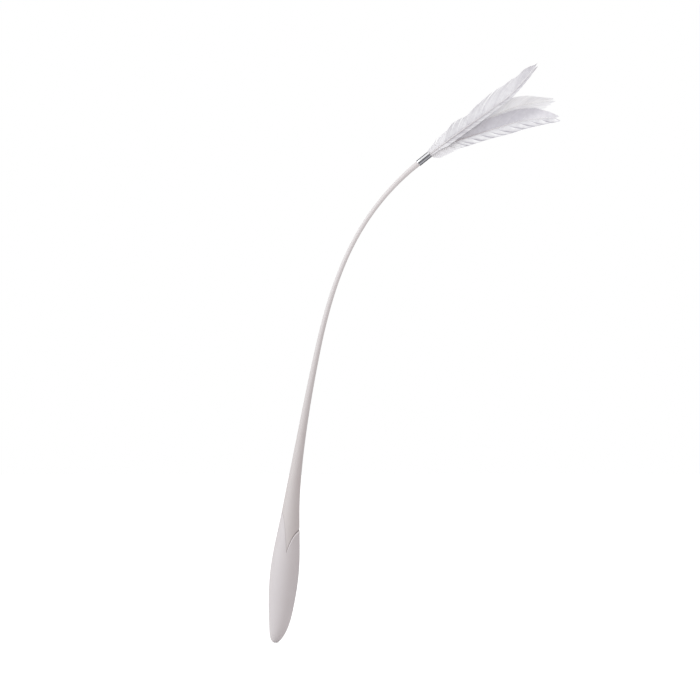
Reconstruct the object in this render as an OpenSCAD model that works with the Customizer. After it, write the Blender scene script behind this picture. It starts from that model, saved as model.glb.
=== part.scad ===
// Cat teaser wand: a soft teardrop grip that runs on as one long, arching rod, with a steel wire inside,
// a metal ferrule at the rod's end and three feathers set in it.
// The origin is the middle of the grip where it is widest. +Z is up, and the rod arches towards +X.
// Every round piece is placed along one line, the spine: s is the length along it from the origin.

/* [Grip] */
// Widest diameter of the grip
grip_d = 27.3; // [22:0.1:32]
// Length from the widest place down to the end of the butt
butt_len = 65; // [56:1:80]
// Length over which the grip's swell falls to half
bell_len = 70; // [58:1:84]
// Length above the widest place that stays straight
straight_len = 62; // [54:1:76]
// Lean of the grip from upright, in degrees
grip_lean = 5.8; // [0:0.2:12]
// Extra lean of the butt's tip, in degrees
butt_hook = 14; // [0:1:18]

/* [Rod] */
// Diameter that the rod narrows towards
rod_d = 3.1; // [2.7:0.1:4]
// How much thicker the rod is again at the ferrule
collar_swell = 1.5; // [0:0.1:2]
// Length of the curved rod, up to the ferrule
rod_len = 360; // [280:1:440]
// Lean of the rod at the ferrule, in degrees
tip_lean = 51.2; // [30:0.2:70]

/* [Seam] */
// Height of the seam's point above the widest place
seam_point = 21.5; // [17:0.5:26]
// Rise from the point to the seam's lower side
seam_low_rise = 22.5; // [16:0.5:27]
// Rise from the point to the seam's higher side
seam_high_rise = 39; // [30:1:46]
// How fast the V opens, in degrees of turn round the grip
seam_spread = 24; // [16:1:34]
// Gap between the bud and the stem
seam_gap = 0.3; // [0.2:0.05:0.5]
// Depth of the groove that runs above the seam
groove_depth = 0.6; // [0.3:0.1:1]
// How far the bud's rim stands out
rim_proud = 0.35; // [0.1:0.05:0.8]
// Length over which the rim swells out
rim_reach = 5; // [3:0.5:8]
// Thickness of the bud's edge
petal_wall = 1.2; // [0.8:0.1:1.8]

/* [Core] */
// Diameter of the hard core in the grip
core_d = 11; // [9:0.5:12.5]
// Length of the core below the widest place
core_low = 36; // [30:1:44]
// Length of the core above the widest place
core_high = 47; // [43:1:54]
// Height of the ribs that key the core into the soft grip
rib_h = 1; // [0.5:0.1:1.4]
// Width of a rib
rib_w = 3; // [2:0.5:4]
// Diameter of the spring wire
wire_d = 1.5; // [1.1:0.1:1.8]
// Diameter of the sleeve that anchors the wire
anchor_d = 3.8; // [3.2:0.1:4.6]
// Length of the sleeve
anchor_len = 16; // [10:1:20]

/* [Ferrule] */
// Outside diameter of the ferrule
ferrule_d = 6.2; // [5.6:0.1:7]
// Length of the ferrule
ferrule_len = 13.9; // [13:0.1:18]
// Thickness of its wall
ferrule_wall = 0.25; // [0.15:0.05:0.35]
// Length of rod that is held in the ferrule
rod_insert = 4.5; // [3:0.5:5]

/* [Feathers] */
// Length of the upper feather, beyond the ferrule
upper_len = 133; // [100:1:160]
// Length of the middle feather
middle_len = 132; // [100:1:160]
// Length of the lower feather
lower_len = 129; // [100:1:160]
// Diameter of a quill where it leaves the ferrule
quill_d = 1.25; // [0.9:0.05:1.35]
// Thickness of a vane beside its shaft
vane_t = 0.5; // [0.3:0.05:0.7]
// Widest reach of the upper feather's left vane
upper_left_w = 12.8; // [8:0.2:16]
// Widest reach of the upper feather's right vane
upper_right_w = 3; // [2:0.1:6]
// Widest reach of the middle feather's left vane
middle_left_w = 8; // [6:0.5:12]
// Widest reach of the middle feather's right vane
middle_right_w = 9.5; // [5:0.5:12]
// Widest reach of the lower feather's left vane
lower_left_w = 10.8; // [7:0.2:14]
// Widest reach of the lower feather's right vane
lower_right_w = 9.4; // [7:0.2:14]
// Length of loose down at the foot of each feather
down_len = 17; // [8:1:20]
// How far the outer feathers splay apart at their tips
splay = 6; // [3:0.5:10]

/* [Hidden] */
$fn = 48;

// Points round a ring of the grip and rod, closer together at the front where the seam comes to its point
ring_count = 36;
crowding = 1.5;
turns = [for (i = [0 : ring_count - 1]) let (u = 2 * i / ring_count - 1)
    180 * sign(u) * pow(abs(u), crowding)];
wire_sides = 8;
wire_turns = [for (i = [0 : wire_sides - 1]) i * 360 / wire_sides];

// The rod's bend: share of its length, and share of the lean that it has gained there
rod_bend_shares = [[0, 0], [0.07, 0.05], [0.32, 0.11], [0.44, 0.14], [0.57, 0.245], [0.68, 0.395],
                   [0.79, 0.595], [0.9, 0.81], [1, 1]];
// Curves of the grip's outline
butt_power = 1.7;
butt_round_share = 0.42;
bell_power = 2;
collar_power = 10;

core_fit = 0.1;
hook_margin = 2;
hook_start = core_low + hook_margin;
ferrule_low = straight_len + rod_len;
ferrule_r = ferrule_d / 2;
ferrule_bore = ferrule_r - ferrule_wall;
spigot_fit = 0.3;
spigot_r = ferrule_bore - spigot_fit;
stem_end = ferrule_low + rod_insert;
neck_gap = 0.3;
neck_slope = 0.5;

butt_knots = [[0, grip_lean], [hook_start, grip_lean], [butt_len, grip_lean + butt_hook]];
rod_knots = concat([[0, grip_lean]],
    [for (row = rod_bend_shares)
        [straight_len + row[0] * rod_len, grip_lean + row[1] * (tip_lean - grip_lean)]]);

// Directions in the plane of the arch, at a lean from upright
function ahead(lean) = [sin(lean), 0, cos(lean)];
function aside(lean) = [cos(lean), 0, -sin(lean)];
front = [0, -1, 0];

// One arc of a chain of arcs that meet without a corner: its lean turns evenly from one value to another
straight_enough = 0.001;
function arc_run(lean_a, lean_b, run) =
    abs(lean_b - lean_a) < straight_enough ? run * ahead(lean_a)
    : run * (180 / PI) / (lean_b - lean_a) * [cos(lean_a) - cos(lean_b), 0, sin(lean_b) - sin(lean_a)];

// The point at length s along a chain of arcs, given as rows of [length, lean]
function walk(knots, s, i = 0, p = [0, 0, 0]) =
    i == len(knots) - 1 ? p + (s - knots[i][0]) * ahead(knots[i][1])
    : s <= knots[i + 1][0] ? p + arc_run(knots[i][1], lookup(s, knots), s - knots[i][0])
    : walk(knots, s, i + 1, p + arc_run(knots[i][1], knots[i + 1][1], knots[i + 1][0] - knots[i][0]));

function spine(s) = s < 0 ? -walk(butt_knots, -s) : walk(rod_knots, s);
function spine_lean(s) = s < 0 ? lookup(-s, butt_knots) : lookup(s, rod_knots);
// A point at distance r from the spine; a turn of 0 faces the front and a turn of 90 faces +X
function skin(s, r, turn) = spine(s) + r * (sin(turn) * aside(spine_lean(s)) + cos(turn) * front);

// Radius of the grip and rod at length s
function swell(s) = s < 0
    ? grip_d / 2 * pow(max(0, 1 - pow(-s / butt_len, butt_power)), butt_round_share)
    : rod_d / 2 + (grip_d - rod_d) / 2 / (1 + pow(s / bell_len, bell_power))
        + collar_swell / 2 * pow(s / ferrule_low, collar_power);

function ease(t) = t <= 0 ? 0 : t >= 1 ? 1 : t * t * (3 - 2 * t);
function mix(a, b, t) = a + (b - a) * t;

// Which side of the seam a turn is on: 0 on its lower side, to the right, and 1 on its higher side. The two
// meet in the V's point at the front, and change over smoothly round the back.
function seam_side(turn) = let (back = ease((abs(turn) - 90) / 90) / 2) turn < 0 ? 1 - back : back;
// Height of the seam at a turn: a V at the front that opens out and runs round the back
function seam(turn) = seam_point
    + mix(seam_low_rise, seam_high_rise, seam_side(turn)) * (1 - exp(-abs(turn) / seam_spread));
// The seam is crisp on its lower side, and its rim and groove fade to this share on its higher side
seam_soft_share = 0.25;
soft_turn = 15;
function crisp(turn) = mix(1, seam_soft_share,
    abs(turn) < 90 ? ease((1 - turn / soft_turn) / 2) : seam_side(turn));

// A closed skin over a row of rings. Caps are the points that close its two ends; with none, the last ring
// joins the first. outward is false where the rings run the other way.
module loft(rings, caps = [], outward = true) {
    n = len(rings[0]);
    m = len(rings);
    points = concat([for (ring = rings) each ring], caps);
    last = len(caps) == 0 ? m - 1 : m - 2;
    walls = [for (j = [0 : last], i = [0 : n - 1])
        let (a = j * n + i, b = j * n + (i + 1) % n,
             c = ((j + 1) % m) * n + (i + 1) % n, d = ((j + 1) % m) * n + i)
        each [[a, c, b], [a, d, c]]];
    ends = len(caps) == 0 ? [] : [for (i = [0 : n - 1])
        each [[m * n, i, (i + 1) % n],
              [m * n + 1, (m - 1) * n + (i + 1) % n, (m - 1) * n + i]]];
    faces = concat(walls, ends);
    polyhedron(points, outward ? faces : [for (f = faces) [f[2], f[1], f[0]]]);
}

// The hard core's outline as [radius, height], grown outwards by a clearance to give its socket
rib_places_low_shares = [0.72, 0.38, 0.04];
core_nose = 2;
function rib(z, grow) = let (r = core_d / 2 + grow, top = r + rib_h, half = rib_w / 2 + grow)
    [[r, z - half], [top, z - half], [top, z + half], [r, z + half]];
function core_low_side(grow) = concat(
    [[core_d / 2 - core_nose + grow, -core_low - grow], [core_d / 2 + grow, core_nose - core_low]],
    [for (share = rib_places_low_shares) each rib(-core_low * share, grow)]);
function core_high_side(grow) = concat(
    rib((parting + core_high) / 2, grow),
    [[core_d / 2 + grow, core_high - core_nose], [core_d / 2 - core_nose + grow, core_high + grow]]);

// Inside the grip the bud and the stem part along a shelf round the core, and from there out to the seam
parting_share = 0.42;
parting = seam_point + parting_share * (seam_low_rise + seam_high_rise) / 2;
shelf = 1.2;
shelf_r = core_d / 2 + core_fit + shelf;
function rim_inner_r(turn) = swell(seam(turn)) - petal_wall;
// How much of the gap lies radially, where the parting surface is steep
function gap_out(turn) = let (dr = rim_inner_r(turn) - shelf_r, ds = seam(turn) - parting)
    -ds / norm([dr, ds]);

butt_rings = 10;
side_rings = 5;
lip_shares = [0.35, 0.7, 0.94];
rim_edge = 0.25;

module grip_bud() color([0.79, 0.76, 0.74]) loft(
    concat(
        [for (i = [1 : butt_rings]) let (s = -butt_len * cos(90 * i / butt_rings))
            [for (turn = turns) skin(s, swell(s), turn)]],
        [for (i = [1 : side_rings]) [for (turn = turns) let (s = (seam(turn) - rim_reach) * i / side_rings)
            skin(s, swell(s), turn)]],
        [for (share = lip_shares) [for (turn = turns) let (s = seam(turn) - rim_reach * (1 - share))
            skin(s, swell(s) + rim_proud * crisp(turn) * ease(share), turn)]],
        [[for (turn = turns) skin(seam(turn), swell(seam(turn)) + rim_proud * crisp(turn) - rim_edge, turn)],
         [for (turn = turns) skin(seam(turn), rim_inner_r(turn), turn)],
         [for (turn = turns) skin(parting, shelf_r, turn)],
         [for (turn = turns) skin(parting, core_d / 2 + core_fit, turn)]],
        let (side = core_low_side(core_fit)) [for (i = [len(side) - 1 : -1 : 0])
            [for (turn = turns) skin(side[i][1], side[i][0], turn)]]),
    caps = [skin(-butt_len, 0, 0), skin(-core_low - core_fit, 0, 0)]);

// The wire, its anchor sleeve and their places in the core
wire_fit = 0.1;
crimp_fit = 0.03;
anchor_low_share = 0.5;
anchor_low = -core_low * anchor_low_share;
anchor_high = anchor_low + anchor_len;
anchor_fit = 0.05;
wire_bore = wire_d / 2 + wire_fit;
wire_tail = 2;
wire_out = 1.2;
wire_low = anchor_low - anchor_fit + crimp_fit;

module at_spine(s) translate(spine(s)) rotate([0, spine_lean(s), 0]) children();

module grip_core() color([0.32, 0.33, 0.35]) at_spine(0) rotate_extrude() polygon(concat(
    [[0, -core_low]],
    core_low_side(0), core_high_side(0),
    [[wire_bore, core_high], [wire_bore, anchor_high + anchor_fit],
     [anchor_d / 2 + anchor_fit, anchor_high + anchor_fit],
     [anchor_d / 2 + anchor_fit, anchor_low - anchor_fit], [0, anchor_low - anchor_fit]]));

crimp_count = 3;
crimp_depth = 0.25;
crimp_w = 1.6;

module wire_anchor() color([0.72, 0.66, 0.45]) at_spine(0) difference() {
    translate([0, 0, anchor_low]) cylinder(h = anchor_len, d = anchor_d);
    translate([0, 0, anchor_low - crimp_w])
        cylinder(h = anchor_len + 2 * crimp_w, d = wire_d + 2 * crimp_fit);
    for (i = [1 : crimp_count])
        translate([0, 0, anchor_low + anchor_len * i / (crimp_count + 1)]) difference() {
            cylinder(h = crimp_w, d = anchor_d + crimp_w, center = true);
            cylinder(h = 2 * crimp_w, d = anchor_d - 2 * crimp_depth, center = true);
        }
}

// Rings along the rod, shared by its outside, its bore and the wire, so that the three stay parallel
root_margin = 8;
root_top = seam_point + seam_high_rise + root_margin;
rod_rings = 25;
rod_stations = [for (i = [0 : rod_rings])
    mix(root_top, ferrule_low - neck_gap - neck_slope, i / rod_rings)];
low_stations = [mix(core_high, root_top, 0.5), each rod_stations];
groove_reach = 4;
groove_shares = [0, 0.15, 0.45, 1];
root_rings = 3;

function stem_root_s(turn, reach) = seam(turn) + seam_gap + reach;

module stem() color([0.80, 0.76, 0.73]) loft(
    concat(
        [for (row = [[stem_end, spigot_r], [ferrule_low, spigot_r], [ferrule_low - neck_gap, spigot_r]])
            [for (turn = turns) skin(row[0], row[1], turn)]],
        [for (i = [rod_rings : -1 : 0]) let (s = rod_stations[i])
            [for (turn = turns) skin(s, swell(s), turn)]],
        [for (i = [root_rings : -1 : 1]) [for (turn = turns)
            let (s = mix(stem_root_s(turn, groove_reach), root_top, i / (root_rings + 1)))
            skin(s, swell(s), turn)]],
        [for (i = [len(groove_shares) - 1 : -1 : 0]) [for (turn = turns)
            let (s = stem_root_s(turn, groove_reach * groove_shares[i]))
            skin(s, swell(s) - groove_depth * crisp(turn) * (1 - ease(groove_shares[i])), turn)]],
        [[for (turn = turns) skin(stem_root_s(turn, 0), rim_inner_r(turn) + seam_gap * gap_out(turn), turn)],
         [for (turn = turns) skin(parting + seam_gap, shelf_r + seam_gap * gap_out(turn), turn)],
         [for (turn = turns) skin(parting + seam_gap, core_d / 2 + core_fit, turn)]],
        [for (p = core_high_side(core_fit)) [for (turn = turns) skin(p[1], p[0], turn)]],
        [[for (turn = turns) skin(core_high + core_fit, wire_bore, turn)]],
        [for (s = concat(low_stations, [ferrule_low, stem_end]))
            [for (turn = turns) skin(s, wire_bore, turn)]]),
    outward = false);

module core_wire() color([0.62, 0.63, 0.65]) loft(
    [for (s = concat([wire_low, core_high], low_stations, [ferrule_low, stem_end, stem_end + wire_out]))
        [for (turn = wire_turns) skin(s, wire_d / 2, turn)]],
    caps = [skin(wire_low, 0, 0), skin(stem_end + wire_out, 0, 0)]);

// Inside the ferrule, counted from its lower rim: rod, wire's end, quills in their binding, glue at the mouth
ferrule_lip = 0.12;
quill_gap = 0.45;
quill_low = rod_insert + wire_out + quill_gap;
glue_high = ferrule_len - 2 * ferrule_wall;
glue_len_share = 0.18;
glue_len = ferrule_len * glue_len_share;
quill_pitch_share = 0.75;
quill_pitch = (ferrule_bore - quill_d / 2) * quill_pitch_share;
thread_fit = 0.05;
thread_count = 6;
thread_start_share = 0.2;
thread_width_share = 0.6;

module at_ferrule() translate(spine(ferrule_low)) rotate([0, tip_lean, 0]) children();

module ferrule() color([0.82, 0.82, 0.84]) at_ferrule() rotate_extrude() polygon([
    [ferrule_bore, ferrule_lip], [ferrule_bore + ferrule_lip, 0], [ferrule_r - ferrule_lip, 0],
    [ferrule_r, ferrule_lip], [ferrule_r, ferrule_len - ferrule_lip], [ferrule_r - ferrule_lip, ferrule_len],
    [ferrule_bore + ferrule_lip, ferrule_len], [ferrule_bore, ferrule_len - ferrule_lip]]);

// A flat loop round the three quills, which lie in a row from front to back
module quill_loop(grow, h) linear_extrude(height = h) union() {
    for (side = [-1, 1]) translate([0, side * quill_pitch]) circle(d = quill_d + 2 * grow);
    square([quill_d + 2 * grow, 2 * quill_pitch], center = true);
}

binding_low = quill_low + neck_gap;
binding_len = glue_high - glue_len - neck_gap - binding_low;
thread_t = (ferrule_bore - quill_pitch - quill_d / 2 - thread_fit) / 2;

module quill_binding() color([0.86, 0.84, 0.80]) at_ferrule() translate([0, 0, binding_low]) difference() {
    union() {
        quill_loop(thread_fit + thread_t / 2, binding_len);
        for (i = [0 : thread_count - 1])
            translate([0, 0, binding_len * (i + thread_start_share) / thread_count])
                quill_loop(thread_fit + thread_t, binding_len * thread_width_share / thread_count);
    }
    translate([0, 0, -binding_len / 2]) quill_loop(thread_fit, 2 * binding_len);
}

module glue_plug() color([0.90, 0.87, 0.78]) at_ferrule()
    translate([0, 0, glue_high - glue_len]) difference() {
        cylinder(h = glue_len, r = ferrule_bore - thread_fit);
        for (side = [-1, 0, 1])
            translate([0, side * quill_pitch, -glue_len / 2])
                cylinder(h = 2 * glue_len, d = quill_d + 2 * thread_fit);
    }

// The feathers. Each row: length, place from front (-1) to back (1), and bend as [share of length, degrees].
UPPER = 0;
MIDDLE = 1;
LOWER = 2;
FEATHERS = [
    [upper_len, -1, [[0, 0], [0.04, 2], [0.45, 3.8], [0.62, 2.8], [0.73, -5.2], [0.85, -10.2], [1, -9.2]]],
    [middle_len, 1, [[0, 0], [0.03, 5.8], [0.45, 8.8], [0.62, 15.8], [0.78, 27], [1, 32]]],
    [lower_len, 0, [[0, 0], [0.04, 8], [0.2, 19], [0.4, 22], [0.58, 21], [0.8, 31], [1, 40]]]];
mouth = spine(ferrule_low) + ferrule_len * ahead(tip_lean);
splay_power = 1.3;

function feather_knots(f) = [for (row = FEATHERS[f][2]) [row[0] * FEATHERS[f][0], tip_lean + row[1]]];
function layer_y(f, s) = FEATHERS[f][1]
    * (quill_pitch + splay * pow(max(0, s) / FEATHERS[f][0], splay_power));
function rachis(f, s) = mouth + walk(feather_knots(f), s) + [0, layer_y(f, s), 0];
function rachis_lean(f, s) = lookup(s, feather_knots(f));

// A shaft is round, thickest in the ferrule and drawn out to a hair at its tip
shaft_sides = 8;
shaft_rings = 20;
shaft_tip_share = 0.2;
shaft_reach_share = 0.96;
function shaft_r(f, s) = quill_d / 2 * mix(1, shaft_tip_share, ease(max(0, s) / FEATHERS[f][0]));
function shaft_point(f, s, r, turn) = rachis(f, s)
    + r * (sin(turn) * aside(rachis_lean(f, s)) + cos(turn) * front);

module shaft(f) let (
        top = FEATHERS[f][0] * shaft_reach_share, start = quill_low - ferrule_len,
        stations = concat([start, start / 2], [for (i = [0 : shaft_rings]) top * i / shaft_rings]))
    loft([for (s = stations) [for (i = [0 : shaft_sides - 1])
            shaft_point(f, s, shaft_r(f, s), 360 * i / shaft_sides)]],
        caps = [shaft_point(f, start, 0, 0), shaft_point(f, top, 0, 0)]);

// The edge of each vane: share of the feather's length, and share of the vane's widest reach there
upper_left_shares = [[0, 0.24], [0.06, 0.4], [0.13, 0.66], [0.18, 0.6], [0.25, 0.79], [0.3, 0.79],
                     [0.38, 0.64], [0.45, 0.82], [0.56, 0.94], [0.65, 1], [0.71, 0.84], [0.8, 0.76],
                     [0.93, 0.53], [1, 0.15]];
upper_right_shares = [[0, 0.5], [0.1, 0.9], [0.7, 0.9], [0.9, 0.65], [1, 0.2]];
middle_left_shares = [[0, 0.2], [0.12, 0.7], [0.4, 0.95], [0.66, 1], [0.78, 0.8], [0.93, 0.32], [1, 0.12]];
middle_right_shares = [[0, 0.3], [0.12, 0.75], [0.4, 0.95], [0.8, 1], [0.91, 0.8], [0.97, 0.45], [1, 0.25]];
lower_left_shares = [[0, 0.15], [0.08, 0.42], [0.2, 0.75], [0.4, 0.97], [0.7, 1], [0.85, 0.8], [0.93, 0.5],
                     [1, 0.15]];
lower_right_shares = [[0, 0.6], [0.06, 0.9], [0.11, 0.95], [0.2, 0.9], [0.5, 0.88], [0.62, 1], [0.72, 0.92],
                      [0.85, 0.72], [0.95, 0.5], [1, 0.35]];

// How far the barbs lean away from the shaft at the feather's foot and at its tip, in degrees
foot_slant_angle = 50;
tip_slant_angle = 18;
loose_foot_slant_angle = 54;
loose_tip_slant_angle = 30;
slant_power = 0.5;

// The vanes, a left and a right one for each feather: widest reach, edge, and the slants of the barbs
VANES = [
    [upper_left_w, upper_left_shares, foot_slant_angle, tip_slant_angle],
    [upper_right_w, upper_right_shares, foot_slant_angle, tip_slant_angle],
    [middle_left_w, middle_left_shares, foot_slant_angle, tip_slant_angle],
    [middle_right_w, middle_right_shares, foot_slant_angle, tip_slant_angle],
    [lower_left_w, lower_left_shares, foot_slant_angle, tip_slant_angle],
    [lower_right_w, lower_right_shares, loose_foot_slant_angle, loose_tip_slant_angle]];
function vane_of(f, side) = VANES[2 * f + (1 + side) / 2];
function slant(f, side, s) = mix(vane_of(f, side)[2], vane_of(f, side)[3],
    pow(max(0, s) / FEATHERS[f][0], slant_power));

// How far out the barb rooted at s goes: its tip ends on the vane's edge, and halving finds the place
edge_tries = 9;
function tip_out(f, side, s, low, high, tries = edge_tries) = let (
        mid = (low + high) / 2, row = vane_of(f, side),
        edge = row[0] * lookup((s + mid / tan(slant(f, side, s))) / FEATHERS[f][0], row[1]))
    tries == 0 ? mid
    : edge > mid ? tip_out(f, side, s, mid, high, tries - 1) : tip_out(f, side, s, low, mid, tries - 1);

// A vane is made of locks of barbs that slant forward from the shaft and part from each other at the edge.
// Each row of points lies along one barb, and each lock has a slit, a long barb and a shorter one.
lock_shares = [0, 0.12, 0.62];
lock_end_share = 0.96;
slit_least_share = 0.4;
vane_fit = 0.12;
edge_thin_share = 0.45;
across_shares = [0, 0.5, 1];
camber_share = 0.055;
wobble_angle = 97;
seed_angle = 61;
// An uneven share between 0 and 1 that differs from lock to lock
function uneven(i, seed) = 0.5 + 0.5 * sin(wobble_angle * i + seed_angle * seed);
function lock_cut(i, k, slit, seed) = k == 0 ? 1 - slit * mix(slit_least_share, 1, uneven(i, seed))
    : k == 1 ? 1 : lock_end_share;

function barb_row(f, side, s, cut) = let (
        lean = rachis_lean(f, s), along = slant(f, side, s), foot = shaft_r(f, s) + vane_fit,
        reach = tip_out(f, side, s, 0, vane_of(f, side)[0]) / sin(along) * cut,
        way = cos(along) * ahead(lean) + side * sin(along) * aside(lean),
        root = rachis(f, s) + foot / sin(along) * way,
        bow = -reach * camber_share * s / FEATHERS[f][0],
        spots = [for (a = across_shares)
            [root + a * reach * way + [0, bow * a * a, 0], vane_t / 2 * mix(1, edge_thin_share, a)]])
    concat([for (p = spots) p[0] - [0, p[1], 0]],
           [for (i = [len(spots) - 1 : -1 : 0]) spots[i][0] + [0, spots[i][1], 0]]);

// Locks of barbs from one place on the shaft to another; slit is the share of the reach that a slit cuts
module locks(f, side, from, to, count, slit, seed) let (
        rows = [for (i = [0 : count - 1], k = [0 : len(lock_shares) - 1])
            barb_row(f, side, from + (to - from) * (i + lock_shares[k]) / count, lock_cut(i, k, slit, seed))],
        rings = concat(rows, [barb_row(f, side, to, 1 - slit)]),
        first = rings[0], final = rings[len(rings) - 1])
    loft(rings, caps = [middle_of(first), middle_of(final)], outward = side > 0);

function middle_of(ring, i = 0, sum = [0, 0, 0]) =
    i == len(ring) ? sum / len(ring) : middle_of(ring, i + 1, sum + ring[i]);

lock_count = 15;
vane_slit_share = 0.22;
down_count = 4;
down_slit_share = 0.6;
down_foot = 0.8;
down_gap = 0.6;

module vane(f, side) locks(f, side, down_foot + down_len + down_gap, FEATHERS[f][0] * shaft_reach_share,
    lock_count, vane_slit_share, f + side);
module down(f) for (side = [-1, 1])
    locks(f, side, down_foot, down_foot + down_len, down_count, down_slit_share, f + side);

shaft_colour = [0.93, 0.91, 0.86];
vane_colour = [0.86, 0.86, 0.88];
down_colour = [0.95, 0.94, 0.93];

module upper_shaft() color(shaft_colour) shaft(UPPER);
module upper_left_vane() color(vane_colour) vane(UPPER, -1);
module upper_right_vane() color(vane_colour) vane(UPPER, 1);
module upper_down() color(down_colour) down(UPPER);
module middle_shaft() color(shaft_colour) shaft(MIDDLE);
module middle_left_vane() color(vane_colour) vane(MIDDLE, -1);
module middle_right_vane() color(vane_colour) vane(MIDDLE, 1);
module middle_down() color(down_colour) down(MIDDLE);
module lower_shaft() color(shaft_colour) shaft(LOWER);
module lower_left_vane() color(vane_colour) vane(LOWER, -1);
module lower_right_vane() color(vane_colour) vane(LOWER, 1);
module lower_down() color(down_colour) down(LOWER);

grip_bud();
grip_core();
wire_anchor();
core_wire();
stem();
ferrule();
quill_binding();
glue_plug();
upper_shaft();
upper_left_vane();
upper_right_vane();
upper_down();
middle_shaft();
middle_left_vane();
middle_right_vane();
middle_down();
lower_shaft();
lower_left_vane();
lower_right_vane();
lower_down();
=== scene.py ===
# %% [markdown]
# This scene dresses a cat teaser wand: a soft teardrop grip that runs on as one long arching rod, a
# polished ferrule at its end and three pale feathers. The construction model already gives every piece its
# place and size. It could be copied by eye, but loading it as a fixed frame keeps looks and motion
# together, so that comes first, and its box is noted.

# %% Load the frame
import math
import random

import bmesh
import bpy
from mathutils import Matrix, Vector
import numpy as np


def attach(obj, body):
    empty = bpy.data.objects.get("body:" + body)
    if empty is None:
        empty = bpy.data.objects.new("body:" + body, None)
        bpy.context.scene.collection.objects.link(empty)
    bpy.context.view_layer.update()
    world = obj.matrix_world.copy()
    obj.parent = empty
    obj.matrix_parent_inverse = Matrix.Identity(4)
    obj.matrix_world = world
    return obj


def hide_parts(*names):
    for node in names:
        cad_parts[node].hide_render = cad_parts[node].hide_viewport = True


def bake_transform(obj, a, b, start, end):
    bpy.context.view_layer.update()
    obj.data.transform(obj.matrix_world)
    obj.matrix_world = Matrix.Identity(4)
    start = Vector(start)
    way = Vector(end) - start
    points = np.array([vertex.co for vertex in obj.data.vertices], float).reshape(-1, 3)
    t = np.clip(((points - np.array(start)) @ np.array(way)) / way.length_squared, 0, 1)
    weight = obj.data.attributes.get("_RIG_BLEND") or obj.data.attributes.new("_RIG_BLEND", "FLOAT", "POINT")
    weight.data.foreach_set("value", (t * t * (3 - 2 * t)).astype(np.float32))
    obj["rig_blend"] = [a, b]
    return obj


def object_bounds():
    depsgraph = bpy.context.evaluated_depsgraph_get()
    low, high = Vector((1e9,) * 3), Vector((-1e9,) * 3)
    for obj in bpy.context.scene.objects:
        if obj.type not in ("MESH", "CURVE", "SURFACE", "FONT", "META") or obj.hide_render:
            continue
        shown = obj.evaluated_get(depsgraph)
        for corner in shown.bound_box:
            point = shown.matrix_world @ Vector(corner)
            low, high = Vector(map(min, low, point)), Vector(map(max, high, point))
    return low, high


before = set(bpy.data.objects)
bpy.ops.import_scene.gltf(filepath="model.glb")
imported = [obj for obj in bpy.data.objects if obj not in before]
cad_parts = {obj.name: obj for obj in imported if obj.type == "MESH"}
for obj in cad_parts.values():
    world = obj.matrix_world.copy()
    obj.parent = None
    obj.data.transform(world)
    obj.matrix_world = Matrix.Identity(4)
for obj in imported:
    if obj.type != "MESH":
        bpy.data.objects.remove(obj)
cad_low, cad_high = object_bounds()
print("nodes:", len(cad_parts), "box:", [round(side, 4) for side in cad_high - cad_low])

# %% [markdown]
# Every form below is shaped in a bmesh, and each form, lamp or camera then stands in the scene as one
# object. Blender's object operators depend on what is selected, so two small functions do that work
# instead.

# %% Scene helpers
def mesh_from(bm, name):
    """Writes a bmesh into a new mesh and frees it."""
    mesh = bpy.data.meshes.new(name)
    bm.to_mesh(mesh)
    bm.free()
    return mesh


def put(name, data):
    """Links a new object into the scene."""
    thing = bpy.data.objects.new(name, data)
    bpy.context.scene.collection.objects.link(thing)
    return thing


print("scene helpers ready")

# %% [markdown]
# The photograph looks level and square at the plane of the arch, from so far away that nothing in it
# converges. A level camera with a long lens does the same. It stands opposite the middle of the picture, so
# it needs no shift, and its lens follows from how wide a piece of the arch's plane the picture shows.

# %% Camera
picture_width = 0.665
picture_middle = (0.0625, 0.2137)
camera_away = 3.0

camera_data = bpy.data.cameras.new("camera")
camera_data.lens = camera_data.sensor_width * camera_away / picture_width
camera = put("camera", camera_data)
camera.location = (picture_middle[0], -camera_away, picture_middle[1])
camera.rotation_euler = (math.radians(90), 0, 0)
bpy.context.scene.camera = camera
bpy.context.scene.view_settings.view_transform = "Standard"
print("lens:", round(camera_data.lens), "mm")

# %% [markdown]
# A procedural finish is a small sum of nodes. Adding every Math node by hand hides that sum, so a wrapped
# socket is used here instead: an ordinary expression such as 0.5 + grain * 0.2 adds the nodes it needs. All
# other nodes come from one method that sets a node's choices first and then its sockets.

# %% Node helpers
class Value:
    """One output socket, on which an expression adds Math nodes."""

    def __init__(self, tree, socket):
        self.tree, self.socket = tree, socket

    def math(self, operation, *values):
        node = self.tree.nodes.new("ShaderNodeMath")
        node.operation = operation
        for slot, value in zip(node.inputs, values):
            plug(self.tree, slot, value)
        return Value(self.tree, node.outputs[0])

    def __add__(self, other):
        return self.math("ADD", self, other)

    def __radd__(self, other):
        return self.math("ADD", other, self)

    def __sub__(self, other):
        return self.math("SUBTRACT", self, other)

    def __mul__(self, other):
        return self.math("MULTIPLY", self, other)

    def clamped(self):
        return self.math("MINIMUM", self.math("MAXIMUM", self, 0), 1)


def plug(tree, slot, value):
    """Links a socket to an input, or writes a plain value into it."""
    if isinstance(value, Value):
        tree.links.new(value.socket, slot)
    else:
        slot.default_value = value


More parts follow.
